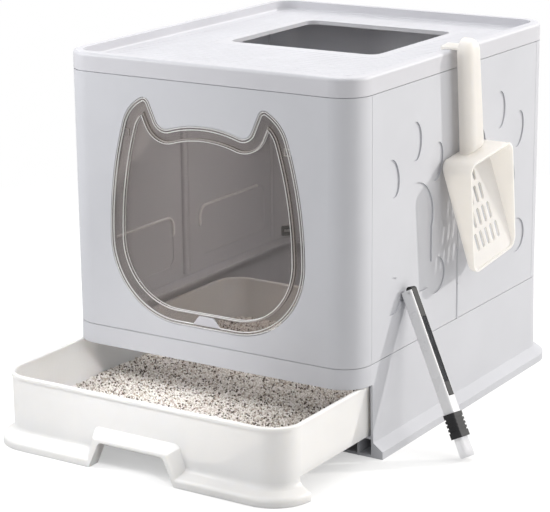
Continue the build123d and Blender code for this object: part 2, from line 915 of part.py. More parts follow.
with BuildPart() as brush_arm:
    with BuildSketch(brush_side) as arm_profile:
        with Locations((arm_center, arm_low)):
            Rectangle(
                arm_depth,
                arm_length - arm_depth / 2,
                align=(Align.CENTER, Align.MIN),
            )
        with Locations((arm_center, brush_length - arm_depth / 2)):
            Circle(arm_depth / 2)
        with Locations((arm_center, pivot_height)):
            Circle(arm_pin_radius + arm_pin_clear, mode=Mode.SUBTRACT)
    extrude(amount=arm_width / 2, both=True)
    with BuildSketch(brush_plane.offset(arm_low + arm_pocket_low)) as strip_pocket:
        with Locations((0, arm_center + arm_depth / 2)):
            Rectangle(
                arm_bristle_columns * 2 * arm_bristle_side + 2 * arm_gap,
                2 * (arm_bristle_back + arm_bristle_depth),
            )
    extrude(amount=arm_pocket_length, mode=Mode.SUBTRACT)
brush_arm.part.label = "brush_arm"

strip_plane = Plane(
    origin=brush_plane.from_local_coords(
        Vector(
            0,
            arm_center + arm_depth / 2 - arm_bristle_depth - arm_bristle_back,
            arm_low + arm_pocket_low + arm_pocket_length / 2,
        )
    ),
    x_dir=brush_plane.x_dir,
    z_dir=brush_plane.y_dir,
)
with BuildPart() as arm_bristles:
    with BuildSketch(strip_plane) as strip_back:
        Rectangle(arm_bristle_columns * 2 * arm_bristle_side, arm_pocket_length - arm_gap)
    extrude(amount=arm_bristle_back)
    with BuildSketch(strip_plane.offset(arm_bristle_back)) as strip_strands:
        with GridLocations(
            2 * arm_bristle_side,
            (arm_pocket_length - 2 * arm_bristle_side) / arm_bristle_rows,
            arm_bristle_columns,
            arm_bristle_rows,
        ):
            Rectangle(arm_bristle_side, arm_bristle_side)
    extrude(amount=arm_bristle_depth)
arm_bristles.part.label = "arm_bristles"

with BuildPart() as arm_pin:
    with BuildSketch(brush_side) as pin_face:
        with Locations((arm_center, pivot_height)):
            Circle(arm_pin_radius)
    extrude(amount=grip_width / 2 - arm_gap, both=True)
arm_pin.part.label = "arm_pin"

# Write every piece to its own file
pieces = [
    base_tub, front_panel, rear_panel, right_front_wall, right_rear_wall,
    left_front_wall, left_rear_wall, door_flap, door_tab, lid, drawer_tray, litter_bed,
    scoop, brush_handle, brush_ferrule, brush_bristles, brush_arm, arm_bristles, arm_pin,
]
os.makedirs("parts", exist_ok=True)
for piece in pieces:
    export_step(piece.part, f"parts/{piece.part.label}.step")
for name, solid in {**clips, **pins}.items():
    solid.label = name
    export_step(solid, f"parts/{name}.step")
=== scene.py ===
import math

import bpy
import numpy as np
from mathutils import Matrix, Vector


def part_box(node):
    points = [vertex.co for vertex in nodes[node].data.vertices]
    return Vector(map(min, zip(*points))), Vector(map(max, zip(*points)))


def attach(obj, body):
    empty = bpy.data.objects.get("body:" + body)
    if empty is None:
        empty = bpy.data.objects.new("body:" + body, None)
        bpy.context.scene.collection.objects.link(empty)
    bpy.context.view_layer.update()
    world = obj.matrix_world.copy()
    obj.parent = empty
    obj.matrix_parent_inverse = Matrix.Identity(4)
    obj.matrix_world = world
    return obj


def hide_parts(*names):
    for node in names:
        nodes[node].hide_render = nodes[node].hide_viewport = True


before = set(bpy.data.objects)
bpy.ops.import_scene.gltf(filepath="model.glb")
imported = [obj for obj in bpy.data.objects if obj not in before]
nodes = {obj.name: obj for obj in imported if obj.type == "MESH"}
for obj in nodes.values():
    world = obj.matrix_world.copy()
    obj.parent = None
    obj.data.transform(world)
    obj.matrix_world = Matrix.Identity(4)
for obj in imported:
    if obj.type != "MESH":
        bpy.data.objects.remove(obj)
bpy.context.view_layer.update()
print("frame loaded,", len(nodes), "nodes")


def linearColour(hexText):  # sRGB hex to the linear values that shaders take
    parts = []
    for start in (0, 2, 4):
        c = int(hexText[start:start + 2], 16) / 255
        parts.append(c / 12.92 if c <= 0.04045 else ((c + 0.055) / 1.055) ** 2.4)
    return (*parts, 1.0)


def addNode(tree, kind, settings=None, links=None):  # a node, its values and what feeds it
    node = tree.nodes.new(kind)
    for key, value in (settings or {}).items():
        if isinstance(key, int) or key in node.inputs:
            node.inputs[key].default_value = value
        else:
            setattr(node, key, value)
    for key, socket in (links or {}).items():
        tree.links.new(socket, node.inputs[key])
    return node


def newMaterial(name):
    mat = bpy.data.materials.new(name)
    mat.use_nodes = True
    mat.node_tree.nodes.clear()
    return mat, mat.node_tree


def perMetre(millimetres):  # texture scale for a feature of that size
    return 1000.0 / millimetres


# What all the moulded plastics share: where the two tones meet, and how far the shine wanders
mouldedSkin = {
    "toneLow": 0.3, "toneHigh": 0.7, "shineDrift": 0.05,
    "scatterTint": (1.0, 0.95, 0.85), "scatterMm": 8.0,
}


def mouldedPlastic(name, look):  # soft colour drift and a fine spark-eroded grain
    mat, tree = newMaterial(name)
    place = addNode(tree, "ShaderNodeTexCoord")
    drift = addNode(
        tree, "ShaderNodeTexNoise",
        {"Scale": perMetre(look["driftMm"]), "Detail": 3.0, "Roughness": 0.55},
        {"Vector": place.outputs["Object"]},
    )
    tone = addNode(tree, "ShaderNodeValToRGB", links={"Fac": drift.outputs["Fac"]})
    tone.color_ramp.elements[0].position = mouldedSkin["toneLow"]
    tone.color_ramp.elements[0].color = linearColour(look["low"])
    tone.color_ramp.elements[1].position = mouldedSkin["toneHigh"]
    tone.color_ramp.elements[1].color = linearColour(look["high"])
    grain = addNode(
        tree, "ShaderNodeTexNoise",
        {"Scale": perMetre(look["grainMm"]), "Detail": 2.0},
        {"Vector": place.outputs["Object"]},
    )
    sheen = addNode(
        tree, "ShaderNodeMapRange",
        {
            "To Min": look["roughness"] - mouldedSkin["shineDrift"],
            "To Max": look["roughness"] + mouldedSkin["shineDrift"],
        },
        {"Value": drift.outputs["Fac"]},
    )
    bump = addNode(  # an eighth as deep as it is wide
        tree, "ShaderNodeBump",
        {"Strength": look["grainStrength"], "Distance": look["grainMm"] / 8000},
        {"Height": grain.outputs["Fac"]},
    )
    skin = addNode(
        tree, "ShaderNodeBsdfPrincipled",
        {
            "IOR": look["ior"], "Subsurface Weight": look.get("depth", 0.0),
            "Subsurface Radius": mouldedSkin["scatterTint"],
            "Subsurface Scale": mouldedSkin["scatterMm"] / 1000,
        },
        {
            "Base Color": tone.outputs["Color"],
            "Roughness": sheen.outputs["Result"],
            "Normal": bump.outputs["Normal"],
        },
    )
    surface = skin.outputs["BSDF"]
    if look["glowThrough"] > 0:  # thin walls let some light through
        glow = addNode(
            tree, "ShaderNodeBsdfTranslucent", {"Color": linearColour(look["glowColour"])}
        )
        both = addNode(
            tree, "ShaderNodeMixShader", {0: look["glowThrough"]},
            {1: surface, 2: glow.outputs["BSDF"]},
        )
        surface = both.outputs["Shader"]
    addNode(tree, "ShaderNodeOutputMaterial", links={"Surface": surface})
    return mat


# Polypropylene, injection moulded with a fine matt grain: soft highlights, cool pale grey
shellLook = {
    "low": "b9babf", "high": "bdbec3", "driftMm": 90.0,
    "grainMm": 1.2,  # the real grain is about 0.3 mm, drawn coarser so that it shows
    "grainStrength": 0.12, "roughness": 0.46, "ior": 1.49, "glowThrough": 0.0,
}
shellPlastic = mouldedPlastic("polypropyleneCoolGrey", shellLook)

# The same polypropylene on the lid, a shade paler
lidLook = {**shellLook, "low": "bcbcc1", "high": "c0c0c5"}
lidPlastic = mouldedPlastic("polypropyleneLidGrey", lidLook)

# Polypropylene lip where the mould parts, a little smoother than the wall; its paler colour is a
# painted highlight where the lip catches light
highlightLipPlastic = mouldedPlastic(
    "polypropyleneLipPaintedHighlight", {**shellLook, "low": "e4e4e6", "high": "eaeaec", "roughness": 0.3}
)

# Polypropylene in warm white, with a smoother face from a polished mould
trayLook = {
    "low": "e1e0df", "high": "e5e4e3", "driftMm": 70.0,
    "grainMm": 1.0, "grainStrength": 0.06, "roughness": 0.36, "ior": 1.49,
    "glowThrough": 0.1, "glowColour": "f4f2ee", "depth": 0.6,
}
trayPlastic = mouldedPlastic("polypropyleneWarmWhite", trayLook)
scoopPlastic = mouldedPlastic(
    "polypropyleneScoopWhite",
    {**trayLook, "low": "f1eeeb", "high": "f5f2ef", "driftMm": 35.0, "glowThrough": 0.45}
)

# Acetal clips and the black ABS of the brush: dark, with a low satin shine
clipPlastic = mouldedPlastic("acetalDarkGrey", {
    "low": "232326", "high": "2c2c30", "driftMm": 8.0,
    "grainMm": 0.8, "grainStrength": 0.1, "roughness": 0.42, "ior": 1.48, "glowThrough": 0.0,
})
blackPlastic = mouldedPlastic("absBlack", {
    "low": "08080a", "high": "0e0e11", "driftMm": 12.0,
    "grainMm": 0.8, "grainStrength": 0.08, "roughness": 0.55, "ior": 1.45, "glowThrough": 0.0,
})
whitePlastic = mouldedPlastic("absWhite", {
    "low": "d6d6d8", "high": "dcdcde", "driftMm": 25.0,
    "grainMm": 0.8, "grainStrength": 0.05, "roughness": 0.28, "ior": 1.54, "glowThrough": 0.0,
})
tabPlastic = mouldedPlastic("polypropyleneTabGrey", {
    "low": "b6b5bb", "high": "bcbbc1", "driftMm": 10.0,
    "grainMm": 0.8, "grainStrength": 0.06, "roughness": 0.4, "ior": 1.49, "glowThrough": 0.0,
})


# Polycarbonate sheet, pressed and smoky: see-through, brighter where it is seen edge on
def clearPlastic(name, look):
    mat, tree = newMaterial(name)
    through = addNode(tree, "ShaderNodeBsdfTransparent", {"Color": linearColour(look["through"])})
    skin = addNode(
        tree, "ShaderNodeBsdfPrincipled",
        {
            "Base Color": linearColour(look["skin"]),
            "Roughness": look["roughness"], "IOR": look["ior"],
        },
    )
    # how far the sheet is seen edge on, alike on both of its faces
    slant = addNode(tree, "ShaderNodeLayerWeight", {"Blend": 0.5})
    share = addNode(
        tree, "ShaderNodeMapRange", {"To Min": look["haze"], "To Max": look["edge"]},
        {"Value": slant.outputs["Facing"]},
    )
    both = addNode(
        tree, "ShaderNodeMixShader",
        links={0: share.outputs["Result"], 1: through.outputs["BSDF"], 2: skin.outputs["BSDF"]},
    )
    addNode(tree, "ShaderNodeOutputMaterial", links={"Surface": both.outputs["Shader"]})
    return mat


flapPlastic = clearPlastic("polycarbonateSmoky", {
    "through": "dfdad7", "skin": "b9b6b3", "roughness": 0.08, "ior": 1.58,
    "haze": 0.02, "edge": 0.4,
})

# Polycarbonate edge beads: their pale, mostly opaque colour is a painted highlight along each crease
# where the sheet catches light
highlightEdgePlastic = clearPlastic("polycarbonateEdgePaintedHighlight", {
    "through": "f2f0ee", "skin": "f4f4f4", "roughness": 0.1, "ior": 1.58,
    "haze": 0.7, "edge": 0.9,
})


# Drawn steel wire: grey metal with streaks along the pin
def drawnSteel(name, look):
    mat, tree = newMaterial(name)
    place = addNode(tree, "ShaderNodeTexCoord")
    stretch = addNode(
        tree, "ShaderNodeMapping", {"Scale": (1.0, 1.0, look["streakDraw"])},
        {"Vector": place.outputs["Object"]},
    )
    streak = addNode(
        tree, "ShaderNodeTexNoise", {"Scale": perMetre(look["streakMm"])},
        {"Vector": stretch.outputs["Vector"]},
    )
    dull = addNode(
        tree, "ShaderNodeMapRange", {"To Min": look["shiny"], "To Max": look["dull"]},
        {"Value": streak.outputs["Fac"]},
    )
    skin = addNode(
        tree, "ShaderNodeBsdfPrincipled",
        {"Base Color": linearColour(look["colour"]), "Metallic": 1.0},
        {"Roughness": dull.outputs["Result"]},
    )
    addNode(tree, "ShaderNodeOutputMaterial", links={"Surface": skin.outputs["BSDF"]})
    return mat


pinSteel = drawnSteel("steelDrawnWire", {
    "colour": "b9babc", "streakMm": 0.5, "streakDraw": 0.04, "shiny": 0.25, "dull": 0.45,
})


# One tone of mineral grain, or of nylon filament
def plainSkin(name, look):
    mat, tree = newMaterial(name)
    skin = addNode(
        tree, "ShaderNodeBsdfPrincipled",
        {
            "Base Color": linearColour(look["colour"]),
            "Roughness": look["roughness"], "IOR": look["ior"],
        },
    )
    addNode(tree, "ShaderNodeOutputMaterial", links={"Surface": skin.outputs["BSDF"]})
    return mat


finishes = {
    "base_tub": shellPlastic, "front_panel": shellPlastic, "rear_panel": shellPlastic,
    "right_front_wall": shellPlastic, "right_rear_wall": shellPlastic,
    "left_front_wall": shellPlastic, "left_rear_wall": shellPlastic,
    "lid": lidPlastic, "drawer_tray": trayPlastic, "scoop": scoopPlastic,
    "door_flap": flapPlastic, "door_tab": tabPlastic,
    "brush_handle": whitePlastic, "brush_ferrule": blackPlastic, "brush_arm": blackPlastic,
    "arm_pin": pinSteel,
}
for nodeName, node in nodes.items():
    finish = finishes.get(nodeName)
    if finish is None:
        finish = clipPlastic if nodeName.endswith("clip") else pinSteel
    node.data.materials.clear()
    node.data.materials.append(finish)
print("finishes put on the CAD nodes")


def meshPiece(name, points, faces, mat, body, smooth=False):
    mesh = bpy.data.meshes.new(name)
    mesh.from_pydata([tuple(p) for p in points], [], [tuple(f) for f in faces])
    mesh.validate()
    mesh.materials.append(mat)
    if smooth:
        mesh.shade_smooth()
    piece = bpy.data.objects.new(name, mesh)
    bpy.context.scene.collection.objects.link(piece)
    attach(piece, body)
    return piece


def tubeFaces(first, rings, sides):  # quads round a tube whose rings of points start at first
    faces = []
    for ring in range(rings - 1):
        for step in range(sides):
            a, b = first + ring * sides + step, first + ring * sides + (step + 1) % sides
            faces.append((a, b, b + sides, a + sides))
    return faces


# Edges of the flap: a fine round bead along every crease of the pressed sheet, coloured pale as a
# painted highlight
flapEdge = {"crease": 22.0, "radius": 0.00055, "sides": 6, "shortest": 0.004, "weldMm": 0.05}


def creaseLines(node):  # chains of points along the creases of a CAD node
    spots, weld, flat, beside = [], {}, {}, {}
    for vertex in node.data.vertices:
        spot = node.matrix_world @ vertex.co
        key = tuple(round(c * perMetre(flapEdge["weldMm"])) for c in spot)
        spots.append(weld.setdefault(key, (len(weld), spot))[0])
    places = [spot for _, spot in weld.values()]
    for polygon in node.data.polygons:
        for a, b in polygon.edge_keys:
            if spots[a] != spots[b]:
                pair = tuple(sorted((spots[a], spots[b])))
                flat.setdefault(pair, []).append(polygon.normal)
    for (a, b), normals in flat.items():
        if len(normals) != 2:
            continue
        if normals[0].angle(normals[1], 0) > math.radians(flapEdge["crease"]):
            beside.setdefault(a, set()).add(b)
            beside.setdefault(b, set()).add(a)
    chains = []
    while beside:
        here = min(beside, key=lambda v: (len(beside[v]), v))
        chain = [here]
        while beside.get(here):
            after = min(beside[here])
            beside[here].discard(after)
            beside[after].discard(here)
            here = after
            chain.append(here)
        for v in [v for v in chain if not beside.get(v)]:
            beside.pop(v, None)
        if len(chain) > 1:
            chains.append([places[v] for v in chain])
    return chains


def flapEdgeHighlights():
    points, faces = [], []
    sides = flapEdge["sides"]
    for chain in creaseLines(nodes["door_flap"]):
        if sum((b - a).length for a, b in zip(chain, chain[1:])) < flapEdge["shortest"]:
            continue
        first = len(points)
        for k, spot in enumerate(chain):
            along = (chain[min(k + 1, len(chain) - 1)] - chain[max(k - 1, 0)]).normalized()
            out = along.cross(Vector((0, 1, 0)))
            out = out.normalized() if out.length > 0.1 else Vector((1, 0, 0))
            other = along.cross(out)
            for step in range(sides):
                turn = 2 * math.pi * step / sides
                around = out * math.cos(turn) + other * math.sin(turn)
                points.append(spot + around * flapEdge["radius"])
        faces += tubeFaces(first, len(chain), sides)
    # the beads take the pale edge plastic, a painted highlight along the creases
    meshPiece("flapEdgeHighlights", points, faces, highlightEdgePlastic, "door", smooth=True)
    return len(faces)


print("flap edges made,", flapEdgeHighlights(), "faces")

# Lip along the top of the pocket on each wall's inner face, where the mould parts, drawn in a paler
# plastic as a painted highlight
pocketLip = {
    "floorX": 0.1978, "near": 0.030, "far": 0.172, "top": 0.195, "bend": 0.014, "bendSteps": 6,
    "radius": 0.0020, "sides": 8, "taper": 0.004, "endThin": 0.15,
    "stand": 0.9,  # share of its radius that the lip's middle stands off the pocket's floor
}


def pocketLips():
    for xSide, sideName in ((-1, "left"), (1, "right")):
        for ySide, endName in ((-1, "front"), (1, "rear")):
            low = pocketLip["top"] - 2 * pocketLip["bend"]
            chain = [(pocketLip["near"], low), (pocketLip["near"], low + pocketLip["taper"])]
            for step in range(pocketLip["bendSteps"] + 1):
                turn = math.pi / 2 * step / pocketLip["bendSteps"]
                chain.append((
                    pocketLip["near"] + pocketLip["bend"] * (1 - math.cos(turn)),
                    pocketLip["top"] - pocketLip["bend"] * (1 - math.sin(turn)),
                ))
            chain.append((pocketLip["far"] - pocketLip["taper"], pocketLip["top"]))
            chain.append((pocketLip["far"], pocketLip["top"]))
            points = []
            sides = pocketLip["sides"]
            for k, (y, z) in enumerate(chain):
                (y0, z0), (y1, z1) = chain[max(k - 1, 0)], chain[min(k + 1, len(chain) - 1)]
                run = math.hypot(y1 - y0, z1 - z0)
                atEnd = k in (0, len(chain) - 1)
                thick = pocketLip["radius"] * (pocketLip["endThin"] if atEnd else 1.0)
                for step in range(sides):
                    turn = 2 * math.pi * step / sides
                    off = thick * math.cos(turn)
                    inward = thick * (pocketLip["stand"] + math.sin(turn))
                    points.append((
                        xSide * (pocketLip["floorX"] - inward),
                        ySide * (y - off * (z1 - z0) / run),
                        z + off * (y1 - y0) / run,
                    ))
            name = "pocketLip" + sideName.title() + endName.title()
            # each lip takes the paler lip plastic, a painted highlight along the top of the pocket
            meshPiece(
                name, points, tubeFaces(0, len(chain), sides), highlightLipPlastic,
                sideName + "_" + endName, smooth=True,
            )


pocketLips()
print("pocket lips made")

# Litter: a rolling bed with loose grains on it, over the whole tray floor
litter = {
    "level": 0.0316, "swell": 0.0016, "swellMm": 95.0, "pitch": 0.0028, "jitter": 0.42,
    "waves": ((0.8, 0.6, 0.7), (-0.7, 0.45, 2.1)), "smallest": 0.0010, "largest": 0.0018,
    "corner": 0.030, "margin": 0.0022, "seed": 11,
    "rise": 0.45,  # share of its size that a grain's middle stands over the bed
    "reach": (0.7, 1.2), "rough": 0.15,  # how far a grain's corners stand out, and stray
    "bedStep": 0.006, "bedInset": 0.001, "bedEdge": 0.0005,
    "cellMm": 3.0, "bedDark": "a2988d", "bedPale": "dcd4cb",
    "tones": {
        "litterGrainsPale": ("f8f4f0", 0.53), "litterGrainsGrey": ("dcd5ce", 0.21),
        "litterGrainsTan": ("b8ab9e", 0.12), "litterGrainsDark": ("5c534b", 0.14),
    },
}
bedLow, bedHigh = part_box("litter_bed")
draw = np.random.default_rng(litter["seed"])


def litterHeight(x, y):  # the swells of the CAD bed, a grain's height lower
    height = litter["level"] + 0 * x
    fromMiddle = y - (bedLow.y + bedHigh.y) / 2
    for xShare, yShare, phase in litter["waves"]:
        turns = (xShare * x + yShare * fromMiddle) / (litter["swellMm"] / 1000)
        height = height + litter["swell"] / 2 * np.sin(2 * math.pi * turns + phase)
    return height


def insideBed(x, y, margin):
    r = litter["corner"]
    dx = np.abs(x - (bedLow.x + bedHigh.x) / 2) - ((bedHigh.x - bedLow.x) / 2 - margin - r)
    dy = np.abs(y - (bedLow.y + bedHigh.y) / 2) - ((bedHigh.y - bedLow.y) / 2 - margin - r)
    return np.hypot(np.maximum(dx, 0), np.maximum(dy, 0)) <= r


def litterBed():
    step, inset = litter["bedStep"], litter["bedInset"]
    across = int((bedHigh.x - bedLow.x) / step)
    along = int((bedHigh.y - bedLow.y) / step)
    xs = np.linspace(bedLow.x + inset, bedHigh.x - inset, across)
    ys = np.linspace(bedLow.y + inset, bedHigh.y - inset, along)
    gx, gy = np.meshgrid(xs, ys, indexing="ij")
    keep = insideBed(gx, gy, litter["bedEdge"])
    top = litterHeight(gx, gy)
    number = -np.ones(gx.shape, int)
    number[keep] = np.arange(keep.sum())
    points = np.stack([gx[keep], gy[keep], top[keep]], 1)
    a, b = number[:-1, :-1], number[1:, :-1]
    c, d = number[1:, 1:], number[:-1, 1:]
    whole = (a >= 0) & (b >= 0) & (c >= 0) & (d >= 0)
    faces = np.stack([a[whole], b[whole], c[whole], d[whole]], 1)
    mat, tree = newMaterial("clayLitterBed")  # crushed clay, seen between the loose grains
    place = addNode(tree, "ShaderNodeTexCoord")
    cells = addNode(
        tree, "ShaderNodeTexVoronoi", {"Scale": perMetre(litter["cellMm"])},
        {"Vector": place.outputs["Object"]},
    )
    tone = addNode(tree, "ShaderNodeValToRGB", links={"Fac": cells.outputs["Color"]})
    tone.color_ramp.elements[0].color = linearColour(litter["bedDark"])
    tone.color_ramp.elements[1].color = linearColour(litter["bedPale"])
    skin = addNode(
        tree, "ShaderNodeBsdfPrincipled", {"Roughness": 0.9}, {"Base Color": tone.outputs["Color"]}
    )
    addNode(tree, "ShaderNodeOutputMaterial", links={"Surface": skin.outputs["BSDF"]})
    bed = meshPiece("litterBed", points, faces, mat, "drawer", smooth=True)
    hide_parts("litter_bed")


def litterGrains():
    pitch = litter["pitch"]
    xs = np.arange(bedLow.x + pitch, bedHigh.x - pitch / 2, pitch)
    ys = np.arange(bedLow.y + pitch, bedHigh.y - pitch / 2, pitch)
    gx, gy = np.meshgrid(xs, ys, indexing="ij")
    gx = gx.ravel() + draw.uniform(-1, 1, gx.size) * pitch * litter["jitter"]
    gy = gy.ravel() + draw.uniform(-1, 1, gy.size) * pitch * litter["jitter"]
    keep = insideBed(gx, gy, litter["margin"])
    gx, gy = gx[keep], gy[keep]
    count = gx.size
    size = draw.uniform(litter["smallest"], litter["largest"], count)
    centre = np.stack([gx, gy, litterHeight(gx, gy) + size * litter["rise"]], 1)
    # each grain is an eight-sided chip with uneven corners, turned any way
    ends = np.array([[1, 0, 0], [-1, 0, 0], [0, 1, 0], [0, -1, 0], [0, 0, 1], [0, 0, -1]], float)
    corners = ends[None] * draw.uniform(*litter["reach"], (count, 6, 1))
    corners = corners + draw.normal(0, litter["rough"], (count, 6, 3))
    turn = draw.normal(size=(count, 4))
    turn /= np.linalg.norm(turn, axis=1)[:, None]
    w, i, j, k = turn.T
    spin = np.stack([
        np.stack([1 - 2 * (j * j + k * k), 2 * (i * j - k * w), 2 * (i * k + j * w)], 1),
        np.stack([2 * (i * j + k * w), 1 - 2 * (i * i + k * k), 2 * (j * k - i * w)], 1),
        np.stack([2 * (i * k - j * w), 2 * (j * k + i * w), 1 - 2 * (i * i + j * j)], 1),
    ], 1)
    points = np.einsum("nab,ncb->nca", spin, corners) * size[:, None, None] + centre[:, None]
    sides = np.array([
        [0, 2, 4], [2, 1, 4], [1, 3, 4], [3, 0, 4], [2, 0, 5], [1, 2, 5], [3, 1, 5], [0, 3, 5],
    ])
    pick = draw.uniform(0, 1, count)
    start = 0.0
    for name, (colour, part) in litter["tones"].items():
        mine = np.flatnonzero((pick >= start) & (pick < start + part))
        start += part
        faces = (sides[None] + 6 * np.arange(mine.size)[:, None, None]).reshape(-1, 3)
        # crushed and screened clay grit: matt, each grain of one tone
        tone = name.removeprefix("litterGrains")
        mat = plainSkin("clayGrit" + tone, {"colour": colour, "roughness": 0.85, "ior": 1.5})
        meshPiece(name, points[mine].reshape(-1, 3), faces, mat, "drawer")
    return count


litterBed()
print("litter laid,", litterGrains(), "grains")


# Deck ribs: low rounded bars across the lid, left and right of the top entry
deckRibs = {
    "deck": 0.430, "pitch": 0.010, "width": 0.0030, "height": 0.0006, "endX": 0.176,
    "front": -0.214, "rear": 0.214, "hatch": (-0.033, 0.163), "hatchX": 0.1045, "border": 0.012,
    "arch": ((-0.5, 0.0), (-0.3, 0.8), (0.0, 1.0), (0.3, 0.8), (0.5, 0.0)), "endWidth": 0.4,
}


def ribBars():
    points, faces = [], []
    arch = deckRibs["arch"]

    def bar(x0, x1, y):
        first = len(points)
        taper, narrow = deckRibs["width"], deckRibs["endWidth"]
        for x, grow in ((x0, 0.0), (x0 + taper, 1.0), (x1 - taper, 1.0), (x1, 0.0)):
            for across, up in arch:
                points.append((
                    x,
                    y + across * deckRibs["width"] * (narrow + (1 - narrow) * grow),
                    deckRibs["deck"] + up * deckRibs["height"] * grow,
                ))
        row = len(arch)
        for ring in range(3):
            for k in range(row - 1):
                a = first + ring * row + k
                faces.append((a, a + row, a + row + 1, a + 1))

    y = deckRibs["front"]
    while y <= deckRibs["rear"]:
        low, high = deckRibs["hatch"]
        if low - deckRibs["border"] < y < high + deckRibs["border"]:
            inner = deckRibs["hatchX"] + deckRibs["border"]
            bar(-deckRibs["endX"], -inner, y)
            bar(inner, deckRibs["endX"], y)
        else:
            bar(-deckRibs["endX"], deckRibs["endX"], y)
        y += deckRibs["pitch"]
    meshPiece("deckRibs", points, faces, lidPlastic, "lid", smooth=True)


ribBars()
print("deck ribs made")

# Nylon filaments of the brush: a tip tuft and a strip in the folding arm
brush = {
    "tip": (0.2977, -0.157, 0.004), "lean": (-95.0, 29.0, 180.0), "length": 0.024,
    "tipColumns": 34, "tipRows": 20, "tipWidth": 0.0152, "tipDepth": 0.0098, "splay": 0.10,
    "tipThick": 0.00034, "stripLow": 0.089, "stripLength": 0.0785, "stripTop": 0.0073,
    "stripDeep": 0.0030, "stripWidth": 0.0088, "stripColumns": 16, "stripRows": 110,
    "stripThick": 0.00042, "seed": 5, "sides": 3, "wander": 0.3,
    "shape": ((0.0, 1.0), (0.7, 0.9), (1.0, 0.45)),  # along a strand, and its thickness there
    "rootSink": 0.001, "splaySpread": 0.05, "tipCut": (0.0004, 0.0016), "floorGap": 0.0006,
    "stripCut": 0.0003, "stripSway": 0.0002, "stripLean": 0.0003,
}


def brushAxes():
    up = Vector(brush["lean"]).normalized()
    out = (Vector((1, 0, 0)) - up * up.x).normalized()
    return out.cross(up), out, up


def filaments(name, roots, tips, thick, mat, body, nodeName):
    points, faces = [], []
    sides, shape = brush["sides"], brush["shape"]
    for root, tip in zip(roots, tips):
        along = (tip - root).normalized()
        side = along.orthogonal().normalized()
        other = along.cross(side)
        first = len(points)
        for share, wide in shape:
            for step in range(sides):
                turn = 2 * math.pi * step / sides
                around = side * math.cos(turn) + other * math.sin(turn)
                points.append(root.lerp(tip, share) + around * thick * wide)
        faces += tubeFaces(first, len(shape), sides)
        faces.append(tuple(range(len(points) - sides, len(points))))  # the cut end
    piece = meshPiece(name, points, faces, mat, body)
    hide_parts(nodeName)


def brushFilaments():
    across, out, up = brushAxes()
    origin = Vector(brush["tip"])
    pick = np.random.default_rng(brush["seed"])
    wander, sink, spread = brush["wander"], brush["rootSink"], brush["splaySpread"]
    roots, tips = [], []
    for column in range(brush["tipColumns"]):
        for row in range(brush["tipRows"]):
            u = (column + 0.5 + pick.uniform(-wander, wander)) / brush["tipColumns"] - 0.5
            v = (row + 0.5 + pick.uniform(-wander, wander)) / brush["tipRows"] - 0.5
            beside = across * u * brush["tipWidth"] + out * v * brush["tipDepth"]
            root = origin + beside + up * (brush["length"] + sink)
            grow = 1 + brush["splay"] + pick.uniform(-spread, spread)
            tip = origin + beside * grow + up * pick.uniform(*brush["tipCut"])
            tip.z = max(tip.z, brush["floorGap"])
            roots.append(root)
            tips.append(tip)
    # nylon monofilament: thin, pale, a slight gloss along each strand
    white = plainSkin("nylonWhite", {"colour": "f2f2f4", "roughness": 0.35, "ior": 1.53})
    filaments(
        "brushFilaments", roots, tips, brush["tipThick"], white, "brush",
        "brush_bristles",
    )
    roots, tips = [], []
    for column in range(brush["stripColumns"]):
        for row in range(brush["stripRows"]):
            u = (column + 0.5 + pick.uniform(-wander, wander)) / brush["stripColumns"] - 0.5
            s = (row + 0.5 + pick.uniform(-wander, wander)) / brush["stripRows"]
            root = origin + across * u * brush["stripWidth"]
            root += up * (brush["stripLow"] + s * brush["stripLength"])
            root += out * (brush["stripTop"] - brush["stripDeep"] - sink)
            tip = root + out * (brush["stripDeep"] + sink + pick.uniform(-brush["stripCut"], 0.0))
            tip += across * pick.uniform(-brush["stripSway"], brush["stripSway"])
            tip += up * pick.uniform(-brush["stripLean"], brush["stripLean"])
            roots.append(root)
            tips.append(tip)
    dark = plainSkin("nylonDarkGrey", {"colour": "58595e", "roughness": 0.5, "ior": 1.53})
    filaments(
        "armFilaments", roots, tips, brush["stripThick"], dark, "brush_arm",
        "arm_bristles",
    )


brushFilaments()
print("brush filaments made")

# Studio: white floor and backdrop, a hard low key from the right rear, soft boxes where the photo
# is lit, and one small box under the lid for the inside
studio = {
    "floorSize": 12.0, "floor": "c4c4c4", "floorGlow": 0.45, "floorFade": (0.55, 1.2),
    "skyTop": 0.8, "skySide": 0.5, "keyStrength": 1.8, "keyAngle": 1.0,
    "keyFrom": (1.0, 1.2, 0.65), "keyColour": "fffcf7",  # a shade warm, as on the right wall
    "warmBoxes": ("sideSoftBox",), "hiddenBoxes": ("cabinSoftBox",),
    "boxes": {  # where each soft box hangs, what it points at, its width, watts, spread in degrees
        "frontSoftBox": ((-0.65, -0.8, 0.7), (-0.1, -0.27, 0.25), 0.4, 5.8, 180.0),
        "topSoftBox": ((-0.1, 0.3, 1.8), (0.0, 0.2, 0.0), 1.0, 13.0, 180.0),
        "sideSoftBox": ((1.5, 0.3, 0.7), (0.2, 0.05, 0.2), 1.4, 11.0, 180.0),
        "traySoftBox": ((0.38, -0.68, 0.55), (-0.095, -0.285, 0.04), 0.12, 0.14, 29.0),
        "apronSoftBox": ((0.25, -1.2, 0.2), (0.3, -0.4, 0.02), 0.25, 0.035, 32.0),
        "cabinSoftBox": ((0.1, -0.06, 0.385), (-0.13, 0.05, 0.08), 0.08, 0.40, 120.0),
    },
}


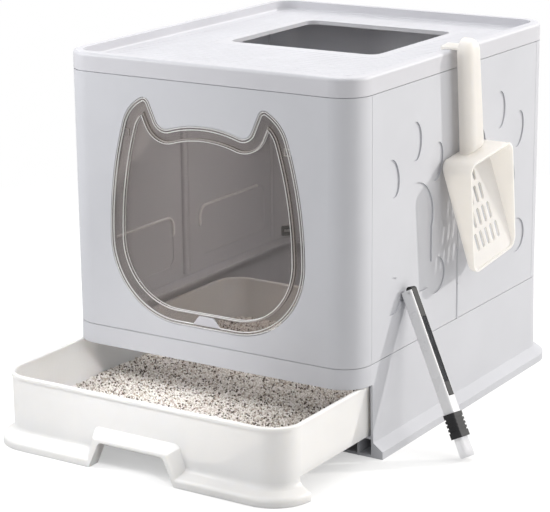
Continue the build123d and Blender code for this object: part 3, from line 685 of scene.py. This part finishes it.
def studioFloor():
    half = studio["floorSize"] / 2
    mesh = bpy.data.meshes.new("studioFloor")
    mesh.from_pydata(
        [(-half, -half, 0), (half, -half, 0), (half, half, 0), (-half, half, 0)], [], [(0, 1, 2, 3)]
    )
    floor = bpy.data.objects.new("studioFloor", mesh)
    bpy.context.scene.collection.objects.link(floor)
    mat, tree = newMaterial("paperWhite")  # matt paper roll, near white
    paper = addNode(tree, "ShaderNodeBsdfDiffuse", {"Color": linearColour(studio["floor"])})
    bright = addNode(tree, "ShaderNodeBsdfDiffuse", {"Color": (1, 1, 1, 1)})
    glow = addNode(tree, "ShaderNodeEmission", {"Strength": 1.0})
    place = addNode(tree, "ShaderNodeTexCoord")
    away = addNode(
        tree, "ShaderNodeVectorMath", {"operation": "LENGTH"}, {0: place.outputs["Object"]}
    )
    near, far = studio["floorFade"]  # the paper runs out to plain white away from the object
    fade = addNode(
        tree, "ShaderNodeMapRange",
        {"From Min": near, "From Max": far, "To Min": studio["floorGlow"], "To Max": 1.0},
        {"Value": away.outputs["Value"]},
    )
    white = addNode(
        tree, "ShaderNodeMixShader",
        links={0: fade.outputs["Result"], 1: bright.outputs["BSDF"], 2: glow.outputs["Emission"]},
    )
    path = addNode(tree, "ShaderNodeLightPath")
    seen = addNode(
        tree, "ShaderNodeMath", {"operation": "ADD", "use_clamp": True},
        {0: path.outputs["Is Camera Ray"], 1: path.outputs["Is Transmission Ray"]},
    )
    both = addNode(
        tree, "ShaderNodeMixShader",
        links={0: seen.outputs["Value"], 1: paper.outputs["BSDF"], 2: white.outputs["Shader"]},
    )
    addNode(tree, "ShaderNodeOutputMaterial", links={"Surface": both.outputs["Shader"]})
    mesh.materials.append(mat)


def studioSky():
    world = bpy.data.worlds.new("studioSky")
    bpy.context.scene.world = world
    world.use_nodes = True
    tree = world.node_tree
    tree.nodes.clear()
    place = addNode(tree, "ShaderNodeTexCoord")
    split = addNode(tree, "ShaderNodeSeparateXYZ", links={"Vector": place.outputs["Generated"]})
    height = addNode(
        tree, "ShaderNodeMapRange",
        {"To Min": studio["skySide"], "To Max": studio["skyTop"]}, {"Value": split.outputs["Z"]},
    )
    soft = addNode(
        tree, "ShaderNodeBackground", {"Color": (1, 1, 1, 1)}, {"Strength": height.outputs["Result"]}
    )
    white = addNode(tree, "ShaderNodeBackground", {"Color": (1, 1, 1, 1), "Strength": 1.0})
    path = addNode(tree, "ShaderNodeLightPath")
    seen = addNode(
        tree, "ShaderNodeMath", {"operation": "ADD", "use_clamp": True},
        {0: path.outputs["Is Camera Ray"], 1: path.outputs["Is Glossy Ray"]},
    )
    seenToo = addNode(
        tree, "ShaderNodeMath", {"operation": "ADD", "use_clamp": True},
        {0: seen.outputs["Value"], 1: path.outputs["Is Transmission Ray"]},
    )
    both = addNode(
        tree, "ShaderNodeMixShader",
        links={
            0: seenToo.outputs["Value"],
            1: soft.outputs["Background"], 2: white.outputs["Background"],
        },
    )
    addNode(tree, "ShaderNodeOutputWorld", links={"Surface": both.outputs["Shader"]})


def keyLamp():
    lamp = bpy.data.lights.new("keyLamp", "SUN")
    lamp.energy = studio["keyStrength"]
    lamp.angle = math.radians(studio["keyAngle"])
    lamp.color = linearColour(studio["keyColour"])[:3]
    key = bpy.data.objects.new("keyLamp", lamp)
    bpy.context.scene.collection.objects.link(key)
    key.rotation_euler = Vector(studio["keyFrom"]).to_track_quat("Z", "Y").to_euler()


def softBoxes():
    for name, (spot, aim, size, watts, spread) in studio["boxes"].items():
        lamp = bpy.data.lights.new(name, "AREA")
        lamp.size = size
        lamp.energy = watts
        lamp.spread = math.radians(spread)
        if name in studio["warmBoxes"]:
            lamp.color = linearColour(studio["keyColour"])[:3]
        box = bpy.data.objects.new(name, lamp)
        bpy.context.scene.collection.objects.link(box)
        box.location = spot
        box.visible_camera = False
        box.visible_transmission = False
        box.visible_glossy = name not in studio["hiddenBoxes"]  # the cabin's box isn't mirrored
        box.rotation_euler = (Vector(spot) - Vector(aim)).to_track_quat("Z", "Y").to_euler()


studioFloor()
studioSky()
keyLamp()
softBoxes()
print("studio lit")

# Camera where the photograph was taken from
cameraPlace = {
    "spot": (1.27042, -2.07274, 0.83265), "turnDegrees": (74.588, 0.570, 32.541),
    "lensMm": 131.59, "sensorMm": 36.0,
}
camData = bpy.data.cameras.new("photoCamera")
camData.lens = cameraPlace["lensMm"]
camData.sensor_width = cameraPlace["sensorMm"]
camera = bpy.data.objects.new("photoCamera", camData)
camera.location = cameraPlace["spot"]
camera.rotation_euler = [math.radians(d) for d in cameraPlace["turnDegrees"]]
bpy.context.scene.collection.objects.link(camera)
bpy.context.scene.camera = camera
bpy.context.scene.view_settings.view_transform = "Standard"
print("camera placed")
